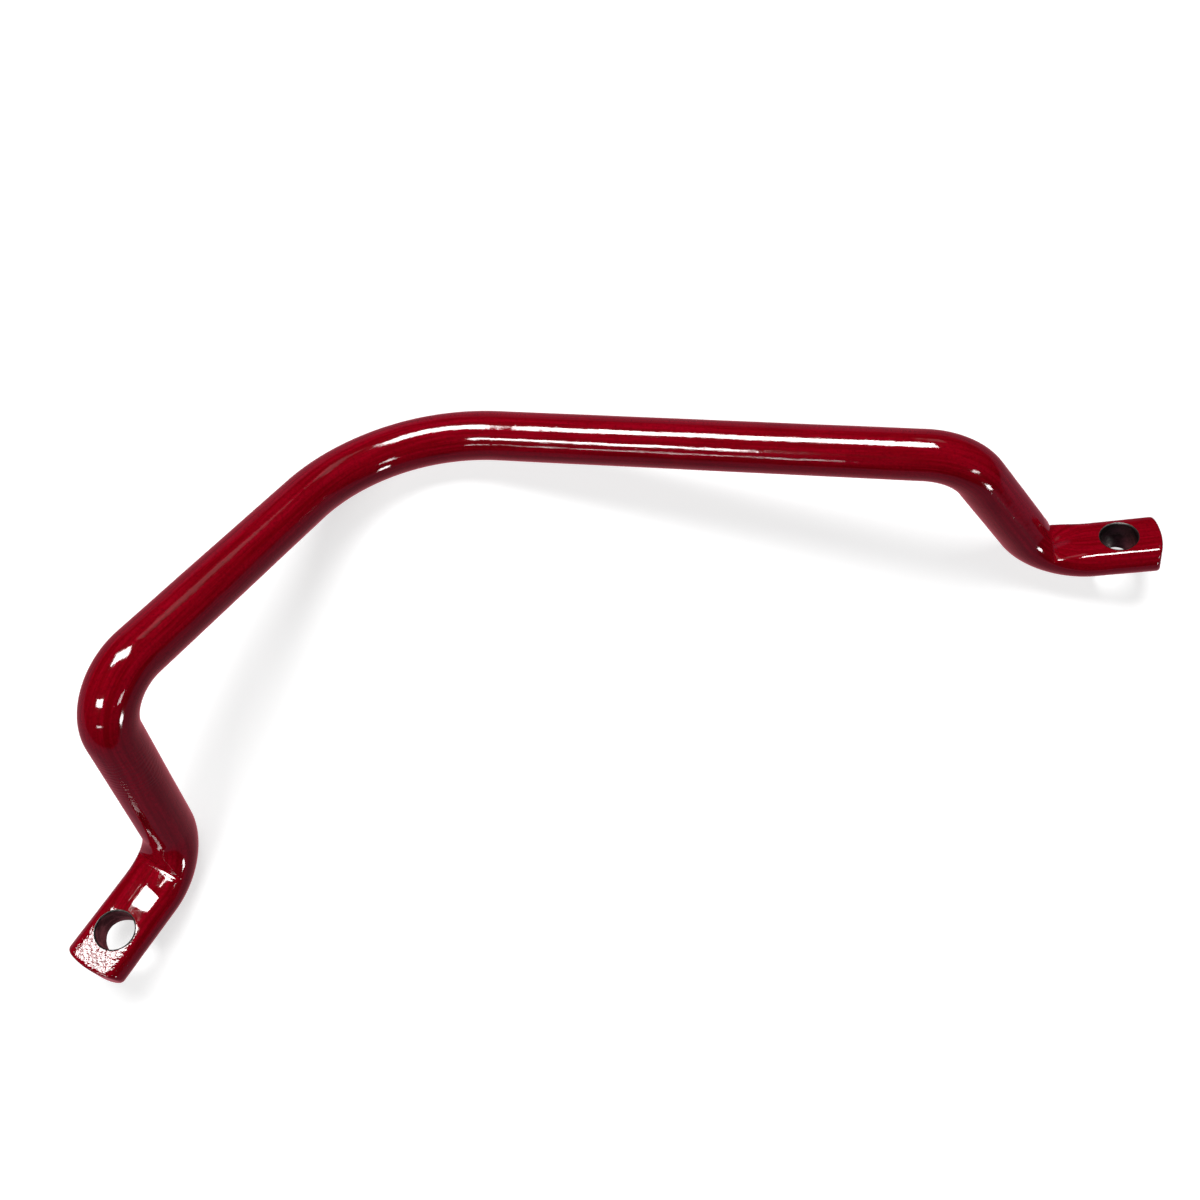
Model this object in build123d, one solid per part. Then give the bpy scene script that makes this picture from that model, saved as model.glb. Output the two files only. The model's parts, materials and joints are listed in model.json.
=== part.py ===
from build123d import *
import math
import os

# One-piece tow bar, bent from solid round steel bar, in millimetres.
# The bar is a shallow V of two unequal arms. A leg turns down from the outer end of each arm,
# and each leg ends in a foot that is hot-forged wide, pressed flat on top and drilled for a bolt.
# It is drawn with both arms in the plane z = 0 and the corner of the V at the origin,
# then turned to lie as it does on a bench: on its two feet and the bend of the V.

# Bar
bar_d = 19.05                  # 3/4 inch round bar
bar_r = bar_d / 2

# Arms, measured along the centreline to the corners where the straight runs would meet
apex_angle = 109.0             # between the two arms
left_arm = 154.0
right_arm = 221.5
apex_bend_r = 66.5             # centreline bend radii
left_shoulder_bend_r = 20.0
right_shoulder_bend_r = 25.0

# Legs: how far each runs out along its arm, sideways (left is positive, looking outward) and down
left_leg_out = -5.0
left_leg_side = -6.0
left_leg_drop = 95.0
right_leg_out = 38.0
right_leg_side = 17.0
right_leg_drop = 59.0
left_foot_bend_r = 22.0
right_foot_bend_r = 30.0

# Feet: yaw from the arm's direction, pitch up from the plane of the arms, and roll of the flat
left_foot_yaw = -2.0
left_foot_pitch = -12.5
left_foot_roll = -17.5
right_foot_yaw = 4.0
right_foot_pitch = 9.0
right_foot_roll = 6.0
foot_half_width = 11.6         # the forged section is an ellipse with its top pressed flat
foot_half_depth = 9.2
flat_height = 6.4              # from the bar's centreline up to the flat
left_hole_reach = 35.5         # from the corner of the centreline, along the foot
right_hole_reach = 28.5
left_step_reach = 9.5          # the press's straight edge, which leaves a step in the bend
right_step_reach = 3.3
end_reach = 15.3               # from the hole's centre to the rounded end
end_arc_r = 30.0

# Bolt holes and edges
hole_d = 13.5                  # clearance for a 1/2 inch bolt
hole_chamfer = 0.6
edge_round_r = 0.8
step_root_r = 1.5
clear = 60.0                   # the cutting tools' size, well past the steel
end_trim = 3.0                 # cut off the blank to round its end
touching = 0.01

# How it lies: turned about X, then Y, then Z
lying_pitch = -40.485
lying_roll = 10.184
lying_turn = 1.04

ORIGIN = (0, 0, 0)
UP = Vector(0, 0, 1)


def heading(degrees):
    """A unit vector in the plane of the arms."""
    return Vector(math.cos(math.radians(degrees)), math.sin(math.radians(degrees)), 0)


def turned(vector, about, degrees):
    """The vector turned about an axis through the origin, right-handed."""
    return vector.rotate(Axis(ORIGIN, about), degrees)


class Foot:
    """The places and directions of one leg and its foot."""

    def __init__(self, arm_heading, arm_length, leg, bend_r, yaw, pitch, roll, hole_reach, step_reach):
        out = heading(arm_heading)
        side = UP.cross(out)
        self.shoulder = out * arm_length
        self.corner = self.shoulder + out * leg[0] + side * leg[1] - UP * leg[2]
        self.leg_down = (self.corner - self.shoulder).normalized()
        level = turned(out, UP, yaw)
        level_across = UP.cross(level)
        self.axis = turned(level, level_across, -pitch)
        self.normal = turned(self.axis.cross(level_across), self.axis, roll)
        self.across = self.normal.cross(self.axis)
        self.turn = self.leg_down.get_angle(self.axis)
        self.hub = self.leg_down.cross(self.axis).normalized()
        self.bend_r = bend_r
        self.bend_reach = bend_r * math.tan(math.radians(self.turn / 2))
        self.bend_start = self.corner - self.leg_down * self.bend_reach
        self.bend_end = self.corner + self.axis * self.bend_reach
        self.hole_reach = hole_reach
        self.step_reach = step_reach
        self.tip_reach = hole_reach + end_reach

    def frame(self):
        """A plane at the centreline's corner, X along the foot and Z up from its flat."""
        return Plane(self.corner, x_dir=self.axis, z_dir=self.normal)


def forged_blank(foot):
    """The bend, along which the round bar swells to the wide section, and the straight foot."""
    middle = (foot.axis - foot.leg_down).normalized()
    centre = foot.corner + middle * (foot.bend_r / math.cos(math.radians(foot.turn / 2)))
    bend = ThreePointArc(foot.bend_start, centre - middle * foot.bend_r, foot.bend_end)
    leg_across = turned(foot.across, foot.hub, -foot.turn)
    leg_end = Plane(foot.bend_start, x_dir=leg_across, z_dir=foot.leg_down) * Circle(bar_r)
    foot_plane = Plane(foot.bend_end, x_dir=foot.across, z_dir=foot.axis)
    foot_outline = foot_plane * Ellipse(foot_half_width, foot_half_depth)
    swelling = sweep([leg_end.face(), foot_outline.face()], path=bend, multisection=True)
    straight = foot.tip_reach - foot.bend_reach + end_trim
    return swelling + extrude(foot_outline, straight, dir=foot.axis)


def pressed_and_trimmed(foot):
    """The blank with its flat pressed, which leaves a step in the bend, and its end cut round."""
    press = Pos(foot.step_reach + clear / 2, 0, flat_height + clear / 2) * Box(clear, clear, clear)
    arc_centre = foot.tip_reach - end_arc_r
    kept = Pos(arc_centre, 0, 0) * Cylinder(end_arc_r, clear)
    beyond = Pos(arc_centre + end_arc_r, 0, 0) * Box(2 * end_arc_r, clear, clear) - kept
    place = foot.frame()
    return forged_blank(foot) - place * press - place * beyond


def edges_near(shape, foot, reach_range, height_range):
    """The edges whose middles lie between two reaches along the foot and two heights."""
    place = foot.frame()
    chosen = []
    for edge in shape.edges():
        middle = place.to_local_coords(edge.center())
        within = reach_range[0] <= middle.X <= reach_range[1]
        if within and height_range[0] <= middle.Z <= height_range[1]:
            chosen.append(edge)
    return chosen


def foot_end(foot):
    """One finished foot with its bend, from where the round leg ends."""
    at_flat = (flat_height - touching, flat_height + touching)
    at_step = (foot.step_reach - touching, foot.step_reach + touching)
    shape = pressed_and_trimmed(foot)
    shape = fillet(edges_near(shape, foot, at_step, at_flat), step_root_r)
    rails = edges_near(shape, foot, (foot.bend_reach, foot.tip_reach - touching), at_flat)
    rims = edges_near(shape, foot, (foot.tip_reach - touching, foot.tip_reach + touching), (-clear, clear))
    shape = fillet(rails + rims, edge_round_r)
    shape -= foot.frame() * Pos(foot.hole_reach, 0, 0) * Cylinder(hole_d / 2, clear)
    circles = shape.edges().filter_by(GeomType.CIRCLE)
    return chamfer([rim for rim in circles if abs(rim.radius - hole_d / 2) < touching], hole_chamfer)


def round_bar(left, right):
    """The round bar between the feet's bends: a leg, two arms and a leg."""
    corners = [left.bend_start, left.shoulder, Vector(ORIGIN), right.shoulder, right.bend_start]
    bends = [left_shoulder_bend_r, apex_bend_r, right_shoulder_bend_r]
    centreline = FilletPolyline(*corners, radius=bends)
    start = Plane(left.bend_start, z_dir=left.leg_down * -1)
    return sweep(start * Circle(bar_r), path=centreline)


def lying_down(shape):
    """Turned to rest on the two feet and the bend of the V, over the origin."""
    shape = shape.rotate(Axis.X, lying_pitch).rotate(Axis.Y, lying_roll).rotate(Axis.Z, lying_turn)
    box = shape.bounding_box()
    return Pos(-box.center().X, -box.center().Y, -box.min.Z) * shape


half_opening = (180 - apex_angle) / 2
left_foot = Foot(
    180 + half_opening, left_arm, (left_leg_out, left_leg_side, left_leg_drop), left_foot_bend_r,
    left_foot_yaw, left_foot_pitch, left_foot_roll, left_hole_reach, left_step_reach,
)
right_foot = Foot(
    -half_opening, right_arm, (right_leg_out, right_leg_side, right_leg_drop), right_foot_bend_r,
    right_foot_yaw, right_foot_pitch, right_foot_roll, right_hole_reach, right_step_reach,
)
tow_bar = foot_end(left_foot) + round_bar(left_foot, right_foot) + foot_end(right_foot)
tow_bar = lying_down(tow_bar)
tow_bar.label = "tow_bar"

os.makedirs("parts", exist_ok=True)
export_step(tow_bar, "parts/tow_bar.step")
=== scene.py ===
import json
import math

import bpy
import numpy as np
from mathutils import Matrix, Vector


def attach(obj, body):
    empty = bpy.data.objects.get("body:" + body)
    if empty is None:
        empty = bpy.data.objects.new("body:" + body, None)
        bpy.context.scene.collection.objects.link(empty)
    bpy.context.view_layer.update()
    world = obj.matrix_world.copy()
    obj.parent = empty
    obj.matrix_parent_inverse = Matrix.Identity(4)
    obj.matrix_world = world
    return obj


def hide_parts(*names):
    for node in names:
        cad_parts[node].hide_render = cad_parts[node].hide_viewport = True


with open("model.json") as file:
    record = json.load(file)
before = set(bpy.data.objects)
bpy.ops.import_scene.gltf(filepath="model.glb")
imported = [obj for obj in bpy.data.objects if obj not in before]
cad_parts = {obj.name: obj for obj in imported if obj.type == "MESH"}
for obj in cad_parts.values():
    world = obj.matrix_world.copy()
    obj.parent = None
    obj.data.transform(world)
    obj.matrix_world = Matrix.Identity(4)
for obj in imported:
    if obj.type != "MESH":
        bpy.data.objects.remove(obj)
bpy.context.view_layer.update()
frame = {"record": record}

# A one-piece tow bar of round steel bar, painted gloss red, lying on a pale floor.
# The CAD node's shape is rebuilt here as one fine mesh, so that the paint's reflections run smoothly.
# Sizes are the bar's own, in millimetres and degrees, in the position it is drawn in:
# both arms in the plane z = 0 and the corner of the V at the origin.

MM = 0.001
BAR_RADIUS = 19.05 / 2
APEX_ANGLE = 109.0
APEX_BEND = 66.5
FOOT_HALF_WIDTH = 11.6
FOOT_HALF_DEPTH = 9.2
FLAT_HEIGHT = 6.4
END_REACH = 15.3              # from a hole's centre to the rounded end
END_ARC = 30.0
LYING_TURNS = (("X", -40.485), ("Y", 10.184), ("Z", 1.04))

HOLE_RADIUS = frame["record"]["mounts"][0]["dims"]["r_mm"]
HOLE_CHAMFER = 0.6

# Softness of the edges, as the blend length along a ray from the centreline
EDGE_BLEND = 1.6
STEP_EDGE_BLEND = 4.5         # where the step meets the bend
STEP_EDGE_REACH = 2.0         # how far past the step that fades
LEFT_ROOT_BLEND = 1.2         # at the step's root
RIGHT_ROOT_BLEND = 2.4
RIGHT_NEAR_BLEND = 11.0       # more on the right foot's near side, which has no step
RIGHT_NEAR_SIDE = (1.0, -6.0)   # places across the foot where that starts and is full

# The left flat's own shape, over the plane of the CAD's. A fade starts and ends at two reaches.
LEFT_TERRACES = ((8.0, 1.62), (17.5, 0.74), (25.0, 0.64), (30.5, 0.0))   # reach and height
LEFT_RISE = 0.105             # slope up across the flat beside the step
LEFT_RISE_FROM = -0.5
LEFT_RISE_FADE = (15.5, 18.5)
LEFT_FALL = ((-11.0, -1.15), (-0.5, 0.0))   # place across and height, as far as the hole
LEFT_FALL_FADE = (26.0, 34.0)

# The right flat's own shape
RIGHT_RISE = 0.8              # into the bend, on the near side
RIGHT_RISE_REACH = (17.0, 3.0)      # where it starts and is full
RIGHT_RISE_ACROSS = (2.0, -7.0)
FAN_HEIGHT = 0.22
FAN_FOLDS = 7
FAN_CENTRE = (1.0, -4.0)      # reach and place across
FAN_RADIUS = 6.0              # the folds are highest this far out, and as wide
FAN_SIDE = (-2.0, 2.0)        # across from their centre, where they start and are full

# The bar's slight waves: length along it per radian, waves around it, and shift in radians
WAVES = ((9.1, 2, 0.0), (5.3, -3, 1.7), (14.7, 1, 0.6))
WAVE_HEIGHT = 0.010
UNEVENNESS_DEPTH = 0.06       # the waves' mean, below the bar's true surface
UNEVENNESS_FADE = 8.0         # none at the ends

# Mesh density
AROUND = 192                  # points around the bar
AROUND_HOLE = 160
RIM_POINTS = 5                # up the worn rim of a hole
CAP_ROWS = 44
CAP_REACH = 8.0               # the end's rays start this far inside the rounded end
FINE_STEP = 0.5
COARSE_STEP = 1.0
FAR = 1000.0
TINY = 1e-6

# A bore ring reaches this far into the bar around it, between these heights
RING_OVERLAP = 0.2
RING_TOP = FLAT_HEIGHT - 0.4
RING_FOOT = -5.0
DRILL_HALF_LENGTH = 20.0

# Edges sharper than this many degrees stay sharp
BAR_SHARP = 35
RING_SHARP = 30

PAINT = (0.235, 0.0006, 0.0055)
PAINT_DEEP = (0.18, 0.0003, 0.0035)
PAINT_BRIGHT = (0.32, 0.0012, 0.011)
PAINT_GRAIN = (0.145, 0.0003, 0.005)
PAINT_ROUGHNESS = (0.1, 0.05)   # off the streaks and on them
COAT_ROUGHNESS = 0.015
COAT_IOR = 1.55
STEEL_BARE = (0.17, 0.165, 0.155)
STEEL_GREASED = (0.045, 0.045, 0.042)
STEEL_ROUGHNESS = (0.28, 0.5)   # clean and greased

# Texture scales are per metre, or per millimetre on the straightened bar and down a bore.
# Bump depths are in millimetres. A range is the part of a noise's values that is used.
MOTTLE_SCALE = 70.0
MOTTLE_RANGE = (0.3, 0.7)
DRAW_MARK_SCALE = 0.9
DRAW_MARK_STRETCH = 0.03      # along the bar
DRAW_MARK_DEPTH = 0.03
STREAK_RANGE = (0.4, 0.62)    # the draw marks that are bright
GRAIN_SCALE = 1100.0
GRAIN_RANGE = (0.45, 0.85)
PEEL_SCALE = 130.0
PEEL_DEPTH = 0.11
FINE_PEEL_SCALE = 700.0
FINE_PEEL_DEPTH = 0.016
NIB_SCALE = 210.0
NIB_SIZE = 0.07               # of a cell
NIB_DEPTH = 0.04
PIT_SCALE = 900.0
PIT_DEPTH = 0.22
PITTED_REACH = 7.0            # past the left hole
PITTED_RADII = (0.009, 0.0125)           # metres, where it starts to fade and is gone
CREASED_SPOT = (-0.168, -0.016, 0.059)   # metres; on the left leg, wrinkled by the bending
CREASED_RADII = (0.007, 0.017)           # metres
CREASE_TURN = 3.4             # radians per millimetre of bar
CREASE_UNEVENNESS_SCALE = 160.0
CREASE_UNEVENNESS = 16.0      # radians
CREASE_DEPTH = 0.022
DRILL_RING_SCALE = 3.2
DRILL_RING_STRETCH = 0.02     # around the bore
DRILL_RING_DEPTH = 0.09
GREASE_SCALE = 180.0
GREASE_RANGE = (0.35, 0.62)

# Stage, in metres
STAGE_RADIUS = 9.0
DOME_ANGLES = (-2, 10, 25, 45, 65, 80, 89)   # of its rings, above the floor
FLOOR = (0.5, 0.7)            # how much it reflects and glows
BACKDROP = (0.2, 0.72)
CEILING = 2.5
WINDOW_DISTANCE = 2.5
LENS = 36.0                   # millimetres, on a sensor as wide
CAMERA_PLACE = (-0.035574, -0.043113, 0.469367)
CAMERA_FORWARD = (0.08729, 0.06897, -0.99379)
CAMERA_UP = (0.35027, 0.93178, 0.09543)

# What the paint mirrors, by direction from straight down at 0 to straight up at 1
ROOM_NADIR = (0.5, 0.13, 0.16)
ROOM_CEILING = (0.003, 0.002, 0.002)
ROOM_WALLS = ((0.3, (0.18, 0.058, 0.09)), (0.49, (0.1, 0.045, 0.08)), (0.52, ROOM_CEILING))


def unit(vector):
    return vector / np.linalg.norm(vector)


def turning(about, degrees):
    """The matrix that turns a vector about an axis, right-handed."""
    return np.array(Matrix.Rotation(math.radians(degrees), 3, Vector(about)))


def smoothstep(share):
    share = np.clip(share, 0, 1)
    return share * share * (3 - 2 * share)


def ramp(value, start, end):
    """0 at the start and 1 at the end, eased; the start may be the larger."""
    return smoothstep((value - start) / (end - start))


def smooth_min(first, second, blend):
    overlap = np.maximum(blend - np.abs(first - second), 0) / blend
    return np.minimum(first, second) - overlap * overlap * blend / 4


def smooth_max(first, second, blend):
    return -smooth_min(-first, -second, blend)


class Foot:
    """The places and directions of one leg and its foot."""

    def __init__(self, name, arm_heading, arm, leg, bends, yaw_pitch_roll, hole_reach, step_reach):
        up = np.array([0.0, 0.0, 1.0])
        out = turning(up, arm_heading) @ np.array([1.0, 0.0, 0.0])
        yaw, pitch, roll = yaw_pitch_roll
        self.name = name
        self.shoulder = out * arm
        self.corner = self.shoulder + out * leg[0] + np.cross(up, out) * leg[1] - up * leg[2]
        level = turning(up, yaw) @ out
        level_across = np.cross(up, level)
        self.axis = turning(level_across, -pitch) @ level
        self.normal = turning(self.axis, roll) @ np.cross(self.axis, level_across)
        self.across = np.cross(self.normal, self.axis)
        self.shoulder_bend, self.foot_bend = bends
        self.hole_reach = hole_reach
        self.step_reach = step_reach
        self.tip_reach = hole_reach + END_REACH
        self.basis = np.array([self.axis, self.across, self.normal])

    def local(self, points):
        """Reach along the foot, place across it and height over its centreline."""
        return (points - self.corner) @ self.basis.T

    def place(self, local):
        return self.corner + local @ self.basis


HALF_OPENING = (180 - APEX_ANGLE) / 2
LEFT = Foot(
    "left", arm_heading=180 + HALF_OPENING, arm=154.0, leg=(-5.0, -6.0, 95.0), bends=(20.0, 22.0),
    yaw_pitch_roll=(-2.0, -12.5, -17.5), hole_reach=35.5, step_reach=9.5,
)
RIGHT = Foot(
    "right", arm_heading=-HALF_OPENING, arm=221.5, leg=(38.0, 17.0, 59.0), bends=(25.0, 30.0),
    yaw_pitch_roll=(4.0, 9.0, 6.0), hole_reach=28.5, step_reach=3.3,
)


def centreline():
    """Stations along the bar: points, directions, carried normals, and how far the foot has swelled."""
    start = LEFT.place(np.array([LEFT.tip_reach - CAP_REACH, 0, 0]))
    end = RIGHT.place(np.array([RIGHT.tip_reach - CAP_REACH, 0, 0]))
    corners = [start, LEFT.corner, LEFT.shoulder, np.zeros(3), RIGHT.shoulder, RIGHT.corner, end]
    bends = [LEFT.foot_bend, LEFT.shoulder_bend, APEX_BEND, RIGHT.shoulder_bend, RIGHT.foot_bend]
    last = len(bends)
    stations = []
    at, normal = start, LEFT.normal
    for run in range(last + 1):
        in_foot = run in (0, last)
        direction = unit(corners[run + 1] - corners[run])
        stop = corners[run + 1]
        if run < last:
            onward = unit(corners[run + 2] - corners[run + 1])
            turn = math.degrees(math.acos(direction @ onward))
            stop = stop - direction * bends[run] * math.tan(math.radians(turn / 2))
        length = np.linalg.norm(stop - at)
        steps = round(length / (FINE_STEP if in_foot else COARSE_STEP))
        for step in range(steps + (run == last)):
            stations.append((at + direction * length * step / steps, direction, normal, float(in_foot)))
        if run == last:
            break
        hub = unit(np.cross(direction, onward))
        centre = stop + np.cross(hub, direction) * bends[run]
        at_foot = run in (0, last - 1)
        spacing = FINE_STEP if at_foot else COARSE_STEP
        steps = round(bends[run] * math.radians(turn) / spacing)
        for step in range(steps):
            share = step / steps
            spin = turning(hub, turn * share)
            swell = (1 - share if run == 0 else share) if at_foot else 0.0
            stations.append((centre + spin @ (stop - centre), spin @ direction, spin @ normal, swell))
        spin = turning(hub, turn)
        at, normal = centre + spin @ (stop - centre), spin @ normal
    points, directions, normals, swells = (np.array(column) for column in zip(*stations))
    return points, directions, untwisted(points, directions, normals, swells), swells


def along(points):
    """How far along the bar each station is."""
    steps = np.linalg.norm(np.diff(points, axis=0), axis=1)
    return np.concatenate([[0], np.cumsum(steps)])


def untwisted(points, directions, normals, swells):
    """Turn the carried normals slowly along the round bar, so that they arrive as the right foot's."""
    across = np.cross(normals, directions)
    twist = math.atan2(RIGHT.normal @ across[-1], RIGHT.normal @ normals[-1])
    travel = along(points)
    round_part = travel[swells == 0]
    share = smoothstep((travel - round_part[0]) / (round_part[-1] - round_part[0]))
    turn = (twist * share)[:, None]
    return normals * np.cos(turn) + across * np.sin(turn)


def ring_angles():
    return np.arange(AROUND) * 2 * math.pi / AROUND


def blank_radius(swell):
    """From the centreline to the bar's surface all round: a circle at swell 0, the foot's ellipse at 1."""
    ease = smoothstep(swell)[:, None]
    half_width = BAR_RADIUS + (FOOT_HALF_WIDTH - BAR_RADIUS) * ease
    half_depth = BAR_RADIUS + (FOOT_HALF_DEPTH - BAR_RADIUS) * ease
    angles = ring_angles()
    return 1 / np.sqrt((np.cos(angles) / half_width) ** 2 + (np.sin(angles) / half_depth) ** 2)


def distance_to(limit, start, rate):
    """How far along each ray a coordinate reaches a limit, minus far where it is past it already."""
    rising = rate > TINY
    distance = np.where(rising, (limit - start) / np.where(rising, rate, 1), FAR)
    return np.where(start >= limit, -FAR, distance)


def left_relief(reach, across):
    """The left flat drops in terraces from the step to the hole, and tilts sideways on each half."""
    terrace = np.interp(reach, *zip(*LEFT_TERRACES))
    rise = LEFT_RISE * np.maximum(across - LEFT_RISE_FROM, 0) * (1 - ramp(reach, *LEFT_RISE_FADE))
    fall = np.interp(across, *zip(*LEFT_FALL)) * (1 - ramp(reach, *LEFT_FALL_FADE))
    return terrace + rise + fall


def right_relief(reach, across):
    """The right flat rises into the bend on its near side, and is creased like a fan behind it."""
    rise = RIGHT_RISE * ramp(reach, *RIGHT_RISE_REACH) * ramp(across, *RIGHT_RISE_ACROSS)
    outward, sideways = reach - FAN_CENTRE[0], across - FAN_CENTRE[1]
    distance = np.hypot(outward, sideways)
    fan = np.arctan2(sideways, outward)
    fades = np.exp(-((distance - FAN_RADIUS) / FAN_RADIUS) ** 2) * ramp(sideways, *FAN_SIDE)
    return rise + FAN_HEIGHT * np.sin(FAN_FOLDS * fan) * fades


def root_blend(foot, across):
    """How softly the flat runs up into the step; the right foot has no step on its near side."""
    if foot is LEFT:
        return np.full_like(across, LEFT_ROOT_BLEND)
    return RIGHT_ROOT_BLEND + RIGHT_NEAR_BLEND * ramp(across, *RIGHT_NEAR_SIDE)


def pressed(foot, origins, rays, distances):
    """Shorten the rays to the flat that the press leaves, as far back as its step."""
    start, rate = foot.local(origins), rays @ foot.basis.T
    past_step = distance_to(foot.step_reach, start[..., 0], rate[..., 0])
    above_flat = distance_to(FLAT_HEIGHT, start[..., 2], rate[..., 2])
    relief = left_relief if foot is LEFT else right_relief
    met = start + rate * np.clip(above_flat, 0, FOOT_HALF_WIDTH)[..., None]
    above_flat = distance_to(FLAT_HEIGHT + relief(met[..., 0], met[..., 1]), start[..., 2], rate[..., 2])
    cut = smooth_max(past_step, above_flat, root_blend(foot, met[..., 1]))
    near_step = 1 - smoothstep((met[..., 0] - foot.step_reach) / STEP_EDGE_REACH)
    blend = EDGE_BLEND + (STEP_EDGE_BLEND - EDGE_BLEND) * near_step
    return smooth_min(distances, np.maximum(cut, TINY), blend)


def unevenness(travel):
    """How far the hot-rolled bar's slight waves lie under its true round, none at the ends."""
    angles = ring_angles()[None, :]
    from_end = np.minimum(travel, travel[-1] - travel)[:, None]
    travel = travel[:, None]
    waves = sum(np.sin(travel / length + count * angles + shift) for length, count, shift in WAVES)
    return (UNEVENNESS_DEPTH - WAVE_HEIGHT * waves) * smoothstep(from_end / UNEVENNESS_FADE)


def cap(foot, centre, outward, across, normal):
    """Rings that close the foot's end, and the point in the middle of its end face."""
    angles = ring_angles()[:, None]
    tilt = (np.arange(1, CAP_ROWS + 1) / (CAP_ROWS + 1) * math.pi / 2)[:, None, None]
    ring = across * np.cos(angles) + normal * np.sin(angles)
    rays = ring * np.cos(tilt) + outward * np.sin(tilt)
    start, rate = foot.local(centre), rays @ foot.basis.T
    side = 1 / np.hypot(rate[..., 1] / FOOT_HALF_WIDTH, rate[..., 2] / FOOT_HALF_DEPTH)
    flat = distance_to(FLAT_HEIGHT, start[2], rate[..., 2])
    distances = smooth_min(side, flat, EDGE_BLEND)
    behind = start[0] - (foot.tip_reach - END_ARC)
    square = rate[..., 0] ** 2 + rate[..., 1] ** 2
    half = behind * rate[..., 0]
    reach = np.sqrt(np.maximum(half ** 2 - square * (behind ** 2 - END_ARC ** 2), 0))
    distances = smooth_min(distances, (reach - half) / np.maximum(square, TINY), EDGE_BLEND)
    return centre + rays * distances[..., None], foot.place(np.array([foot.tip_reach, 0, 0]))


def skin():
    """The bar's outside without its holes, as points and faces: rings between the two end faces."""
    points, directions, normals, swells = centreline()
    across = np.cross(normals, directions)
    angles = ring_angles()[None, :, None]
    rays = across[:, None] * np.cos(angles) + normals[:, None] * np.sin(angles)
    origins = np.broadcast_to(points[:, None], rays.shape)
    travel = along(points)
    distances = blank_radius(swells) - unevenness(travel)
    middle = len(points) // 2
    for foot, part in ((LEFT, slice(None, middle)), (RIGHT, slice(middle, None))):
        distances[part] = pressed(foot, origins[part], rays[part], distances[part])
    left_cap, left_pole = cap(LEFT, points[0], -directions[0], across[0], normals[0])
    right_cap, right_pole = cap(RIGHT, points[-1], directions[-1], across[-1], normals[-1])
    rings = np.concatenate([left_cap[::-1], origins + rays * distances[..., None], right_cap])
    vertices = np.concatenate([rings.reshape(-1, 3), [left_pole, right_pole]])
    return vertices, ring_faces(len(rings)), straightened(travel)


def straightened(travel):
    """Each vertex's place on the bar as if it were straight: across in X and Y, along in Z."""
    before = travel[0] - CAP_REACH * np.arange(CAP_ROWS, 0, -1) / CAP_ROWS
    after = travel[-1] + CAP_REACH * np.arange(1, CAP_ROWS + 1) / CAP_ROWS
    rows = np.concatenate([before, travel, after])
    angles = ring_angles()
    place = np.empty((len(rows), AROUND, 3))
    place[..., 0] = BAR_RADIUS * np.cos(angles)
    place[..., 1] = BAR_RADIUS * np.sin(angles)
    place[..., 2] = rows[:, None]
    poles = [[0, 0, rows[0]], [0, 0, rows[-1]]]
    return np.concatenate([place.reshape(-1, 3), poles])


def ring_faces(ring_count):
    """Quads between the rings, and a fan of triangles at each end."""
    here = np.arange(AROUND)
    beside = (here + 1) % AROUND
    faces = []
    for ring in range(ring_count - 1):
        low, high = ring * AROUND, (ring + 1) * AROUND
        faces.append(np.stack([low + here, low + beside, high + beside, high + here], 1))
    quads = np.concatenate(faces).tolist()
    last, left_pole = (ring_count - 1) * AROUND, ring_count * AROUND
    left_fan = [(left_pole, int(b), int(a)) for a, b in zip(here, beside)]
    right_fan = [(left_pole + 1, last + int(a), last + int(b)) for a, b in zip(here, beside)]
    return quads + left_fan + right_fan


def laid_down(points):
    """Points turned from the drawing position to the lying one, in metres from the drawing's origin."""
    turned = np.asarray(points, float)
    for about, degrees in LYING_TURNS:
        turned = turned @ np.array(Matrix.Rotation(math.radians(degrees), 3, about)).T
    return turned * MM


def shift_to_frame():
    """Where the drawing's origin lies in the row frame, from the left hole's mount."""
    mount = frame["record"]["mounts"][0]
    depth = (FLAT_HEIGHT - HOLE_CHAMFER - FOOT_HALF_DEPTH) / 2
    return np.array(mount["pos_m"]) - laid_down(LEFT.place(np.array([LEFT.hole_reach, 0, depth])))


SHIFT = shift_to_frame()


def lying(points):
    """Points in the frame, in metres."""
    return laid_down(points) + SHIFT


def new_mesh(name, vertices, faces):
    mesh = bpy.data.meshes.new(name)
    mesh.from_pydata([tuple(v) for v in vertices], [], [tuple(f) for f in faces])
    mesh.validate()
    mesh.update()
    piece = bpy.data.objects.new(name, mesh)
    bpy.context.scene.collection.objects.link(piece)
    return piece


def store(piece, name, values):
    """Keep a vector for each vertex, on the face corners so that a cut carries it over."""
    mesh = piece.data
    corner_vertices = np.empty(len(mesh.loops), int)
    mesh.loops.foreach_get("vertex_index", corner_vertices)
    layer = mesh.attributes.new(name, "FLOAT_VECTOR", "CORNER")
    layer.data.foreach_set("vector", np.asarray(values)[corner_vertices].ravel())


def shade_smooth(piece, sharp_degrees):
    mesh = piece.data
    mesh.shade_smooth()
    mesh.set_sharp_from_angle(angle=math.radians(sharp_degrees))


def around_hole():
    return np.arange(AROUND_HOLE) * 2 * math.pi / AROUND_HOLE


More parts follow.
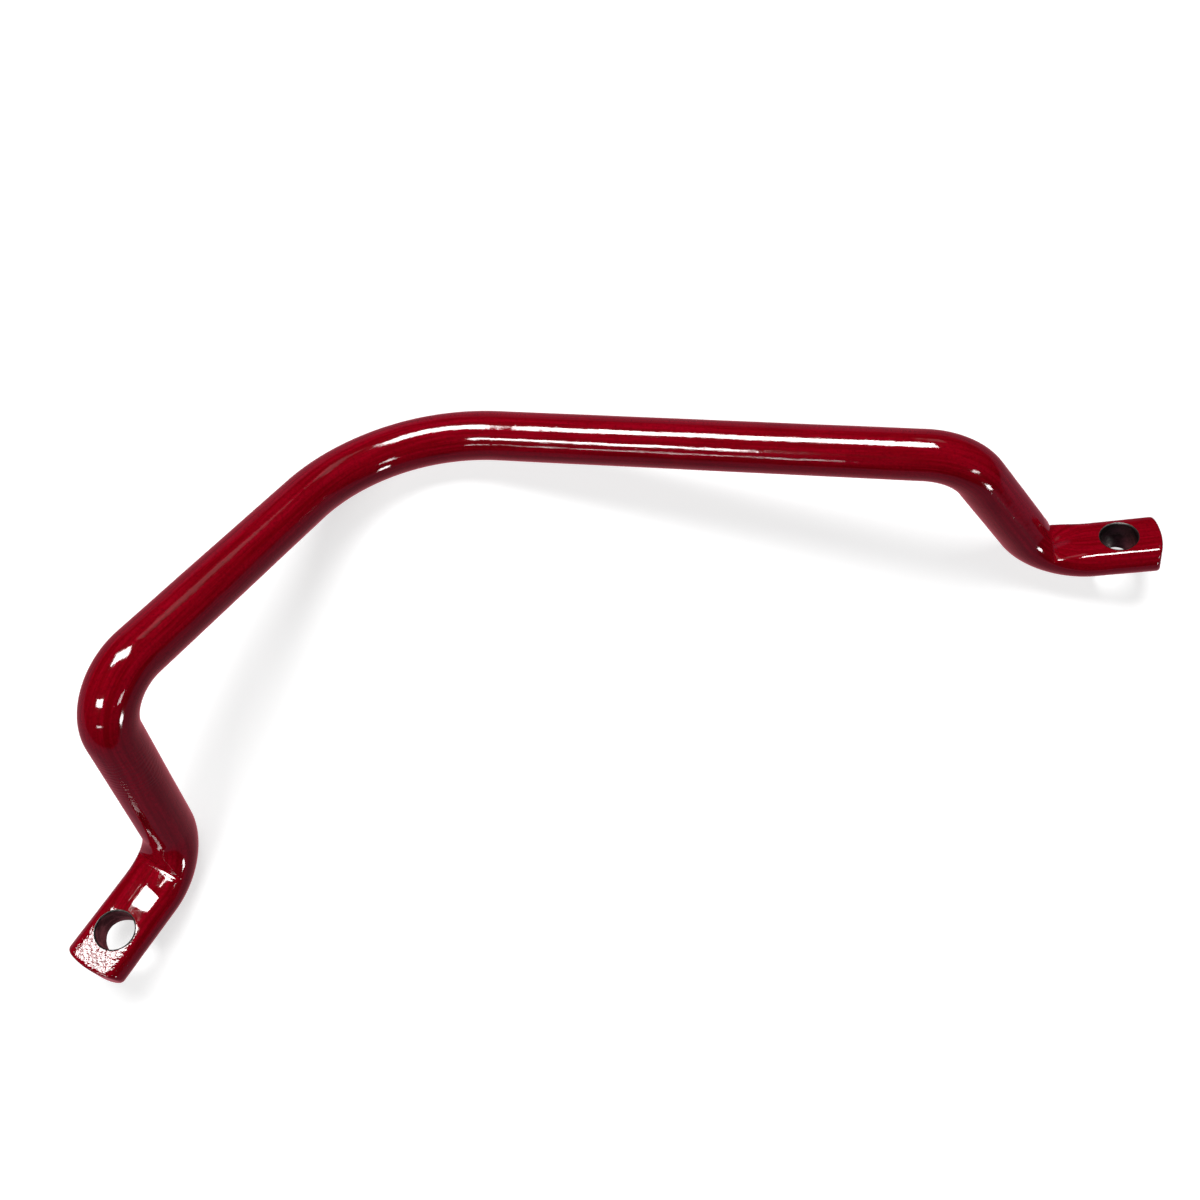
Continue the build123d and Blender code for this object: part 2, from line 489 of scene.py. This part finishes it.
def lathe(foot, profile, name):
    """A closed ring about the foot's hole from a closed profile of (radius, height) points.
    A height of None means the foot's underside at that radius."""
    angles = around_hole()
    places, turned, faces = [], [], []
    for row, (radius, height) in enumerate(profile):
        reach = foot.hole_reach + radius * np.cos(angles)
        across = radius * np.sin(angles)
        level = -FOOT_HALF_DEPTH if height is None else height
        turned.append(np.column_stack([np.cos(angles), np.sin(angles), np.full(AROUND_HOLE, level)]))
        if height is None:
            level = level * np.sqrt(1 - (across / FOOT_HALF_WIDTH) ** 2)
        places.append(foot.place(np.stack([reach, across, np.broadcast_to(level, reach.shape)], 1)))
        here, above = row * AROUND_HOLE, (row + 1) % len(profile) * AROUND_HOLE
        for k in range(AROUND_HOLE):
            beside = (k + 1) % AROUND_HOLE
            faces.append((here + k, here + beside, above + beside, above + k))
    ring = new_mesh(name, lying(np.concatenate(places)), faces)
    store(ring, "turned", np.concatenate(turned))
    return ring


def drill(foot):
    """The drill's shape: the hole as wide as its chamfer, well past both faces."""
    angles = around_hole()
    radius = HOLE_RADIUS + HOLE_CHAMFER
    circle = np.stack([foot.hole_reach + radius * np.cos(angles), radius * np.sin(angles)], 1)
    heights = (-DRILL_HALF_LENGTH, DRILL_HALF_LENGTH)
    ends = [np.column_stack([circle, np.full(AROUND_HOLE, height)]) for height in heights]
    faces = [tuple(range(AROUND_HOLE))[::-1], tuple(range(AROUND_HOLE, 2 * AROUND_HOLE))]
    for k in range(AROUND_HOLE):
        beside = (k + 1) % AROUND_HOLE
        faces.append((k, beside, AROUND_HOLE + beside, AROUND_HOLE + k))
    return new_mesh(foot.name + "_drill", lying(foot.place(np.concatenate(ends))), faces)


def subtract(piece, tool):
    cut = piece.modifiers.new("cut", "BOOLEAN")
    cut.operation = "DIFFERENCE"
    cut.solver = "EXACT"
    cut.object = tool
    bpy.context.view_layer.objects.active = piece
    with bpy.context.temp_override(object=piece, active_object=piece, selected_objects=[piece]):
        bpy.ops.object.modifier_apply(modifier=cut.name)
    bpy.data.objects.remove(tool)


def painted_bar():
    """The bar's whole outside, drilled at both feet."""
    vertices, faces, straight = skin()
    bar = new_mesh("painted_bar", lying(vertices), faces)
    store(bar, "straight", straight)
    for foot in (LEFT, RIGHT):
        subtract(bar, drill(foot))
    shade_smooth(bar, BAR_SHARP)
    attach(bar, "root")
    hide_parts("tow_bar")
    return bar


def bore_ring(foot):
    """The bare wall of a drilled hole with its worn rim, as a ring whose outside is hidden in the bar."""
    profile = [(HOLE_RADIUS, None)]
    for angle in np.linspace(0, math.pi / 2, RIM_POINTS):
        radius = HOLE_RADIUS + HOLE_CHAMFER * (1 - math.cos(angle))
        profile.append((radius, FLAT_HEIGHT - HOLE_CHAMFER * (1 - math.sin(angle))))
    outside = HOLE_RADIUS + HOLE_CHAMFER + RING_OVERLAP
    profile += [(outside, RING_TOP), (outside, RING_FOOT)]
    ring = lathe(foot, profile, foot.name + "_bore")
    shade_smooth(ring, RING_SHARP)
    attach(ring, "root")
    return ring


class Nodes:
    """A material's node tree, with short ways to add to it."""

    def __init__(self, name):
        self.material = bpy.data.materials.new(name)
        self.material.use_nodes = True
        self.tree = self.material.node_tree
        self.shader = self.tree.nodes["Principled BSDF"]

    def add(self, kind, **settings):
        node = self.tree.nodes.new("ShaderNode" + kind)
        for name, value in settings.items():
            setattr(node, name, value)
        return node

    def link(self, source, target):
        self.tree.links.new(source, target)

    def scaled(self, vector, scale):
        """The vector with each axis scaled."""
        mapping = self.add("Mapping")
        mapping.inputs["Scale"].default_value = scale
        self.link(vector, mapping.inputs["Vector"])
        return mapping.outputs["Vector"]

    def noise(self, vector, scale, detail=2.0, roughness=0.5):
        texture = self.add("TexNoise")
        texture.inputs["Scale"].default_value = scale
        texture.inputs["Detail"].default_value = detail
        texture.inputs["Roughness"].default_value = roughness
        self.link(vector, texture.inputs["Vector"])
        return texture.outputs["Fac"]

    def ranged(self, value, low, high, to_low=0.0, to_high=1.0):
        """The value's range low to high taken to another, and held at its ends."""
        node = self.add("MapRange")
        for name, number in zip(("From Min", "From Max", "To Min", "To Max"), (low, high, to_low, to_high)):
            node.inputs[name].default_value = number
        self.link(value, node.inputs["Value"])
        return node.outputs["Result"]

    def math(self, operation, *values):
        node = self.add("Math", operation=operation)
        for socket, value in zip(node.inputs, values):
            if isinstance(value, (int, float)):
                socket.default_value = value
            else:
                self.link(value, socket)
        return node.outputs["Value"]

    def blend(self, factor, first, second):
        """A colour between two; either may be a socket."""
        node = self.add("Mix", data_type="RGBA")
        self.link(factor, node.inputs["Factor"])
        for socket, value in ((node.inputs[6], first), (node.inputs[7], second)):
            if isinstance(value, tuple):
                socket.default_value = (*value, 1)
            else:
                self.link(value, socket)
        return node.outputs[2]

    def bump(self, height, depth_mm, below=None):
        node = self.add("Bump")
        node.inputs["Distance"].default_value = depth_mm * MM
        self.link(height, node.inputs["Height"])
        if below is not None:
            self.link(below, node.inputs["Normal"])
        return node.outputs["Normal"]


def near_point(nodes, vector, point, inner, outer):
    """1 within the inner distance of a point, falling to 0 at the outer one."""
    apart = nodes.add("VectorMath", operation="DISTANCE")
    nodes.link(vector, apart.inputs[0])
    apart.inputs[1].default_value = tuple(point)
    return nodes.ranged(apart.outputs["Value"], inner, outer, 1.0, 0.0)


def paint_colour(nodes, place, streaks):
    """Deep red, mottled, with brighter streaks along the bar and a fine dark grain."""
    mottle = nodes.ranged(nodes.noise(place, MOTTLE_SCALE, 3.0), *MOTTLE_RANGE)
    red = nodes.blend(mottle, PAINT_DEEP, PAINT)
    red = nodes.blend(streaks, red, PAINT_BRIGHT)
    grain = nodes.ranged(nodes.noise(place, GRAIN_SCALE, 2.0, 0.6), *GRAIN_RANGE)
    return nodes.blend(grain, red, PAINT_GRAIN)


def pitting(nodes, place):
    """The height of the pits in the left foot's end, past its hole."""
    spot = lying(LEFT.place(np.array([[LEFT.hole_reach + PITTED_REACH, 0, FLAT_HEIGHT]])))[0]
    pitted = near_point(nodes, place, spot, *PITTED_RADII)
    return nodes.math("MULTIPLY", nodes.noise(place, PIT_SCALE), pitted)


def nibs(nodes, place):
    """The height of dust nibs, one to a cell."""
    cells = nodes.add("TexVoronoi")
    cells.inputs["Scale"].default_value = NIB_SCALE
    nodes.link(place, cells.inputs["Vector"])
    return nodes.ranged(cells.outputs["Distance"], 0.0, NIB_SIZE, 1.0, 0.0)


def creases(nodes, place, straight):
    """The height of a comb of creases across the left leg, at uneven distances."""
    travel = nodes.add("SeparateXYZ")
    nodes.link(straight, travel.inputs[0])
    even_turns = nodes.math("MULTIPLY", travel.outputs["Z"], CREASE_TURN)
    uneven_turns = nodes.math("MULTIPLY", nodes.noise(place, CREASE_UNEVENNESS_SCALE), CREASE_UNEVENNESS)
    comb = nodes.math("SINE", nodes.math("ADD", even_turns, uneven_turns))
    return nodes.math("MULTIPLY", comb, near_point(nodes, place, CREASED_SPOT, *CREASED_RADII))


def paint_material():
    """Deep red gloss enamel over hot-rolled steel: orange peel, draw marks, nibs, pits and creases."""
    nodes = Nodes("gloss_red_paint")
    shader = nodes.shader
    place = nodes.add("TexCoord").outputs["Object"]
    straight = nodes.add("Attribute", attribute_name="straight").outputs["Vector"]
    lengthwise = nodes.scaled(straight, (1.0, 1.0, DRAW_MARK_STRETCH))
    draw_marks = nodes.noise(lengthwise, DRAW_MARK_SCALE, 4.0, 0.65)
    streaks = nodes.ranged(draw_marks, *STREAK_RANGE)
    nodes.link(paint_colour(nodes, place, streaks), shader.inputs["Base Color"])
    nodes.link(nodes.ranged(streaks, 0.0, 1.0, *PAINT_ROUGHNESS), shader.inputs["Roughness"])
    shader.inputs["Coat Weight"].default_value = 1.0
    shader.inputs["Coat Roughness"].default_value = COAT_ROUGHNESS
    shader.inputs["Coat IOR"].default_value = COAT_IOR

    normal = nodes.bump(nodes.noise(place, PEEL_SCALE, 1.0), PEEL_DEPTH)
    normal = nodes.bump(nodes.noise(place, FINE_PEEL_SCALE), FINE_PEEL_DEPTH, normal)
    normal = nodes.bump(draw_marks, DRAW_MARK_DEPTH, normal)
    normal = nodes.bump(nibs(nodes, place), NIB_DEPTH, normal)
    normal = nodes.bump(pitting(nodes, place), PIT_DEPTH, normal)
    normal = nodes.bump(creases(nodes, place, straight), CREASE_DEPTH, normal)
    nodes.link(normal, shader.inputs["Normal"])
    nodes.link(normal, shader.inputs["Coat Normal"])
    return nodes.material


def steel_material():
    """Drilled steel, darkened by grease, with the drill's rings down the wall."""
    nodes = Nodes("drilled_bare_steel")
    shader = nodes.shader
    place = nodes.add("TexCoord").outputs["Object"]
    turned = nodes.add("Attribute", attribute_name="turned").outputs["Vector"]
    down_the_wall = nodes.scaled(turned, (DRILL_RING_STRETCH, DRILL_RING_STRETCH, 1.0))
    rings = nodes.noise(down_the_wall, DRILL_RING_SCALE, 3.0, 0.7)
    grease = nodes.ranged(nodes.noise(place, GREASE_SCALE, 4.0, 0.6), *GREASE_RANGE)
    nodes.link(nodes.blend(grease, STEEL_BARE, STEEL_GREASED), shader.inputs["Base Color"])
    shader.inputs["Metallic"].default_value = 1.0
    nodes.link(nodes.ranged(grease, 0.0, 1.0, *STEEL_ROUGHNESS), shader.inputs["Roughness"])
    nodes.link(nodes.bump(rings, DRILL_RING_DEPTH), shader.inputs["Normal"])
    return nodes.material


painted_bar().data.materials.append(paint_material())
steel = steel_material()
for foot in (LEFT, RIGHT):
    bore_ring(foot).data.materials.append(steel)

# ---- Stage: a plain pale floor under a dark ceiling with soft panels ----


def stage_piece(name, vertices, faces, reflects, glows):
    """A plain pale surface that only the camera sees, so that the paint mirrors the dim room instead."""
    piece = new_mesh(name, vertices, faces)
    piece.visible_glossy = False
    piece.visible_diffuse = False
    piece.visible_shadow = False
    material = bpy.data.materials.new(name)
    material.use_nodes = True
    shader = material.node_tree.nodes["Principled BSDF"]
    shader.inputs["Base Color"].default_value = (reflects, reflects, reflects, 1)
    shader.inputs["Roughness"].default_value = 0.9
    shader.inputs["Emission Color"].default_value = (1, 1, 1, 1)
    shader.inputs["Emission Strength"].default_value = glows
    piece.data.materials.append(material)


def circle(radius, height, count=96):
    angles = np.arange(count) * 2 * math.pi / count
    return np.column_stack([radius * np.cos(angles), radius * np.sin(angles), np.full(count, height)])


def backdrop():
    """A dome round the floor, as rings of points and quads."""
    rings = []
    for angle in np.radians(DOME_ANGLES):
        rings.append(circle(STAGE_RADIUS * math.cos(angle), STAGE_RADIUS * math.sin(angle)))
    count = len(rings[0])
    faces = []
    for row in range(len(rings) - 1):
        for k in range(count):
            low, beside = row * count + k, row * count + (k + 1) % count
            faces.append((low, beside, beside + count, low + count))
    return np.concatenate(rings), faces


def room():
    """The world that the paint mirrors: dim reddish walls below, nearly black above."""
    world = bpy.data.worlds.new("studio")
    bpy.context.scene.world = world
    world.use_nodes = True
    tree = world.node_tree
    direction = tree.nodes.new("ShaderNodeTexCoord")
    height = tree.nodes.new("ShaderNodeSeparateXYZ")
    from_below = tree.nodes.new("ShaderNodeMapRange")
    from_below.inputs["From Min"].default_value = -1.0
    shade = tree.nodes.new("ShaderNodeValToRGB")
    tree.links.new(direction.outputs["Generated"], height.inputs[0])
    tree.links.new(height.outputs["Z"], from_below.inputs["Value"])
    tree.links.new(from_below.outputs["Result"], shade.inputs["Fac"])
    tree.links.new(shade.outputs["Color"], tree.nodes["Background"].inputs["Color"])
    stops = shade.color_ramp.elements
    stops[0].position, stops[1].position = 0.0, 1.0
    stops[0].color = (*ROOM_NADIR, 1)
    stops[1].color = (*ROOM_CEILING, 1)
    for position, colour in ROOM_WALLS:
        stops.new(position).color = (*colour, 1)


def area_light(name, place, size, radiance):
    light = bpy.data.lights.new(name, "AREA")
    light.shape = "RECTANGLE"
    light.size, light.size_y = size
    light.energy = radiance * math.pi * light.size * light.size_y
    lamp = bpy.data.objects.new(name, light)
    lamp.matrix_world = place
    lamp.visible_camera = False
    bpy.context.scene.collection.objects.link(lamp)


def panel(name, x, y, width, depth, turn, radiance):
    """A ceiling light facing down; its place and size are in ceiling heights."""
    place = Matrix.Translation((x * CEILING, y * CEILING, CEILING))
    turned = place @ Matrix.Rotation(math.radians(turn), 4, "Z")
    area_light(name, turned, (width * CEILING, depth * CEILING), radiance)


def wall_light(name, azimuth, elevation, distance, size, radiance):
    """A light facing the origin from an azimuth and elevation."""
    around = Matrix.Rotation(math.radians(azimuth + 90), 4, "Z")
    facing = around @ Matrix.Rotation(math.radians(90 - elevation), 4, "X")
    area_light(name, facing @ Matrix.Translation((0, 0, distance)), size, radiance)


floor_rim = circle(STAGE_RADIUS, 0.0)
stage_piece("floor", floor_rim, [tuple(range(len(floor_rim)))], *FLOOR)
stage_piece("backdrop", *backdrop(), *BACKDROP)
room()
panel("panel_near", 0.06, 0.67, 0.70, 0.44, turn=-14, radiance=17.0)
panel("panel_left", -0.73, -0.31, 0.46, 0.22, turn=-27, radiance=17.0)
panel("panel_far_left", -1.2, -1.3, 0.66, 0.15, turn=-12, radiance=7.0)
panel("panel_far_right", 0.70, -1.40, 0.36, 0.30, turn=-35, radiance=8.0)
panel("glow", 0.95, 1.4, 0.5, 0.8, turn=-25, radiance=0.35)
wall_light("window", -69, 6, WINDOW_DISTANCE, (0.26, 0.3), radiance=14.0)

camera_data = bpy.data.cameras.new("camera")
camera_data.sensor_width = LENS
camera_data.lens = LENS
camera_data.clip_start = 0.01
camera = bpy.data.objects.new("camera", camera_data)
forward = Vector(CAMERA_FORWARD).normalized()
right = forward.cross(Vector(CAMERA_UP)).normalized()
up = right.cross(forward)
rotation = Matrix((right, up, -forward)).transposed()
camera.matrix_world = Matrix.Translation(CAMERA_PLACE) @ rotation.to_4x4()
bpy.context.scene.collection.objects.link(camera)
bpy.context.scene.camera = camera
bpy.context.scene.view_settings.view_transform = "Standard"
